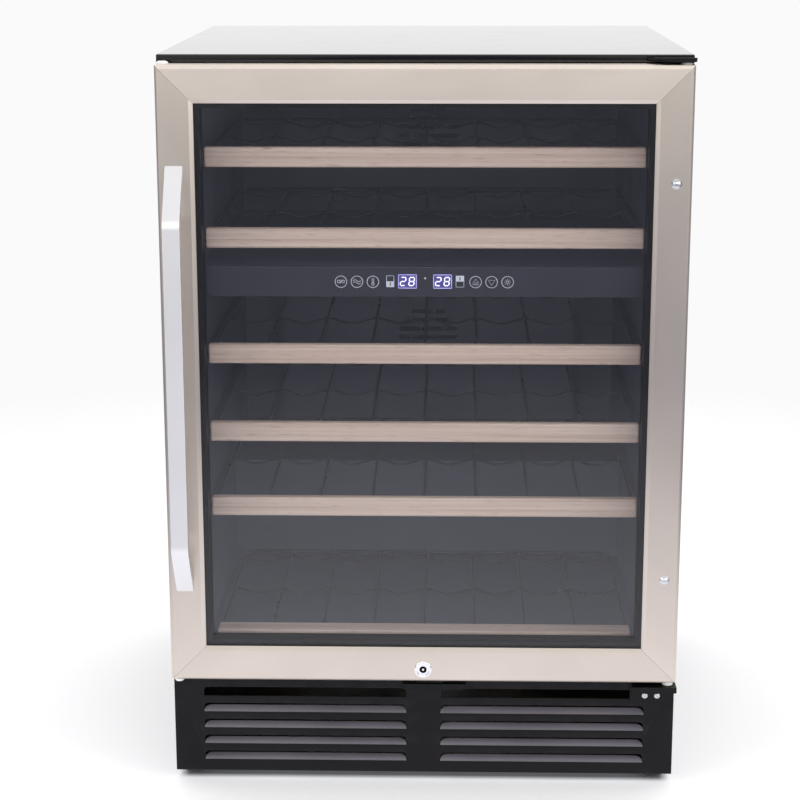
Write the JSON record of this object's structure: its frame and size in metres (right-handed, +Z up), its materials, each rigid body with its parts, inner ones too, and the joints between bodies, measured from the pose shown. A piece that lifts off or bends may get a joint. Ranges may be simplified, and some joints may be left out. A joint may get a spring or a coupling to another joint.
{
  "type": "wine cooler",
  "caption": "Undercounter wine cooler with two temperature zones behind one steel-framed glass door, wooden-fronted sliding shelves and a louvred plinth.",
  "frame": {"origin": "on the floor under the middle of the bounding box, handle included", "axes": "+Z up, +X to the right of somebody facing the door, and the door faces -Y"},
  "size_m": [0.595, 0.638, 0.864],
  "materials": {
    "painted_steel": "satin",
    "gloss_top": "gloss",
    "zinc_steel": "satin",
    "foam": "matte",
    "liner": "satin",
    "fascia": "gloss",
    "key": "gloss",
    "fan": "satin",
    "coil": "satin",
    "lamp": "satin",
    "compressor_paint": "gloss",
    "condenser_wire": "satin",
    "grille": "satin",
    "bracket": "satin",
    "door_steel": "satin",
    "door_glass": "polished",
    "door_plastic": "satin",
    "gasket": "matte",
    "handle_metal": "satin",
    "lock_chrome": "polished",
    "lock_zinc": "satin",
    "shelf_wood": "satin",
    "shelf_wire": "gloss",
    "foot_rubber": "matte",
    "gland_rubber": "matte"
  },
  "bodies": {
    "cabinet": {"left_side_panel": "painted_steel", "right_side_panel": "painted_steel", "back_panel": "painted_steel", "condenser_fan_shroud": "painted_steel", "top_panel": "gloss_top", "base_pan": "zinc_steel", "insulation_foam": "foam", "inner_liner": "liner", "zone_divider": "liner", "upper_duct_cover": "liner", "lower_duct_cover": "liner", "control_fascia": "fascia", "upper_evaporator": "coil", "lower_evaporator": "coil", "upper_light_bar": "lamp", "lower_light_bar": "lamp", "compressor": "compressor_paint", "condenser": "condenser_wire", "cord_gland": "gland_rubber", "front_grille": "grille", "upper_hinge_bracket": "bracket", "lower_hinge_bracket": "bracket", "lock_strike": "bracket", "floor_shelf_front": "shelf_wood", "floor_shelf_rack": "shelf_wire"},
    "door": {"door_top_rail": "door_steel", "door_bottom_rail": "door_steel", "door_left_stile": "door_steel", "door_right_stile": "door_steel", "outer_glass": "door_glass", "inner_glass": "door_glass", "glass_spacer": "door_plastic", "door_inner_frame": "door_plastic", "door_gasket": "gasket", "door_handle": "handle_metal"},
    "lock": {"lock_barrel": "lock_chrome", "lock_cam": "lock_zinc"},
    "top_shelf": {"top_shelf_front": "shelf_wood", "top_shelf_rack": "shelf_wire"},
    "second_shelf": {"second_shelf_front": "shelf_wood", "second_shelf_rack": "shelf_wire"},
    "third_shelf": {"third_shelf_front": "shelf_wood", "third_shelf_rack": "shelf_wire"},
    "fourth_shelf": {"fourth_shelf_front": "shelf_wood", "fourth_shelf_rack": "shelf_wire"},
    "fifth_shelf": {"fifth_shelf_front": "shelf_wood", "fifth_shelf_rack": "shelf_wire"},
    "scale_button": {"scale_key": "key"},
    "fan_button": {"fan_key": "key"},
    "temperature_button": {"temperature_key": "key"},
    "up_button": {"up_key": "key"},
    "down_button": {"down_key": "key"},
    "light_button": {"light_key": "key"},
    "upper_blower": {"upper_fan": "fan"},
    "lower_blower": {"lower_fan": "fan"},
    "condenser_blower": {"condenser_fan": "fan"},
    "front_left_leveller": {"front_left_foot": "foot_rubber"},
    "front_right_leveller": {"front_right_foot": "foot_rubber"},
    "rear_left_leveller": {"rear_left_foot": "foot_rubber"},
    "rear_right_leveller": {"rear_right_foot": "foot_rubber"}
  },
  "joints": [
    {"name": "door_hinge", "type": "hinge", "parent": "cabinet", "child": "door", "pos_m": [0.287, -0.261, 0.498], "axis": [0, 0, 1], "range_deg": [0, 115]},
    {"name": "lock_turn", "type": "hinge", "parent": "door", "child": "lock", "pos_m": [0, -0.281, 0.157], "axis": [0, 1, 0], "range_deg": [0, 90]},
    {"name": "top_shelf_slide", "type": "slide", "parent": "cabinet", "child": "top_shelf", "axis": [0, -1, 0], "range_m": [0, 0.116]},
    {"name": "second_shelf_slide", "type": "slide", "parent": "cabinet", "child": "second_shelf", "axis": [0, -1, 0], "range_m": [0, 0.116]},
    {"name": "third_shelf_slide", "type": "slide", "parent": "cabinet", "child": "third_shelf", "axis": [0, -1, 0], "range_m": [0, 0.116]},
    {"name": "fourth_shelf_slide", "type": "slide", "parent": "cabinet", "child": "fourth_shelf", "axis": [0, -1, 0], "range_m": [0, 0.116]},
    {"name": "fifth_shelf_slide", "type": "slide", "parent": "cabinet", "child": "fifth_shelf", "axis": [0, -1, 0], "range_m": [0, 0.116]},
    {"name": "scale_key_press", "type": "slide", "parent": "cabinet", "child": "scale_button", "axis": [0, 1, 0], "range_m": [0, 0.0008], "stiffness_N_per_m": 400},
    {"name": "fan_key_press", "type": "slide", "parent": "cabinet", "child": "fan_button", "axis": [0, 1, 0], "range_m": [0, 0.0008], "stiffness_N_per_m": 400},
    {"name": "temperature_key_press", "type": "slide", "parent": "cabinet", "child": "temperature_button", "axis": [0, 1, 0], "range_m": [0, 0.0008], "stiffness_N_per_m": 400},
    {"name": "up_key_press", "type": "slide", "parent": "cabinet", "child": "up_button", "axis": [0, 1, 0], "range_m": [0, 0.0008], "stiffness_N_per_m": 400},
    {"name": "down_key_press", "type": "slide", "parent": "cabinet", "child": "down_button", "axis": [0, 1, 0], "range_m": [0, 0.0008], "stiffness_N_per_m": 400},
    {"name": "light_key_press", "type": "slide", "parent": "cabinet", "child": "light_button", "axis": [0, 1, 0], "range_m": [0, 0.0008], "stiffness_N_per_m": 400},
    {"name": "upper_fan_spin", "type": "hinge", "parent": "cabinet", "child": "upper_blower", "pos_m": [0, 0.244, 0.723], "axis": [0, 1, 0], "continuous": true},
    {"name": "lower_fan_spin", "type": "hinge", "parent": "cabinet", "child": "lower_blower", "pos_m": [0, 0.244, 0.446], "axis": [0, 1, 0], "continuous": true},
    {"name": "condenser_fan_spin", "type": "hinge", "parent": "cabinet", "child": "condenser_blower", "pos_m": [-0.05, 0.237, 0.084], "axis": [1, 0, 0], "continuous": true},
    {"name": "front_left_foot_screw", "type": "slide", "parent": "cabinet", "child": "front_left_leveller", "axis": [0, 0, -1], "range_m": [0, 0.02]},
    {"name": "front_right_foot_screw", "type": "slide", "parent": "cabinet", "child": "front_right_leveller", "axis": [0, 0, -1], "range_m": [0, 0.02]},
    {"name": "rear_left_foot_screw", "type": "slide", "parent": "cabinet", "child": "rear_left_leveller", "axis": [0, 0, -1], "range_m": [0, 0.02]},
    {"name": "rear_right_foot_screw", "type": "slide", "parent": "cabinet", "child": "rear_right_leveller", "axis": [0, 0, -1], "range_m": [0, 0.02]}
  ],
  "couplings": [
    {"joint": "top_shelf_slide", "follows": "door_hinge", "m_per_rad": 0.0573},
    {"joint": "second_shelf_slide", "follows": "door_hinge", "m_per_rad": 0.0573},
    {"joint": "third_shelf_slide", "follows": "door_hinge", "m_per_rad": 0.0573},
    {"joint": "fourth_shelf_slide", "follows": "door_hinge", "m_per_rad": 0.0573},
    {"joint": "fifth_shelf_slide", "follows": "door_hinge", "m_per_rad": 0.0573}
  ]
}
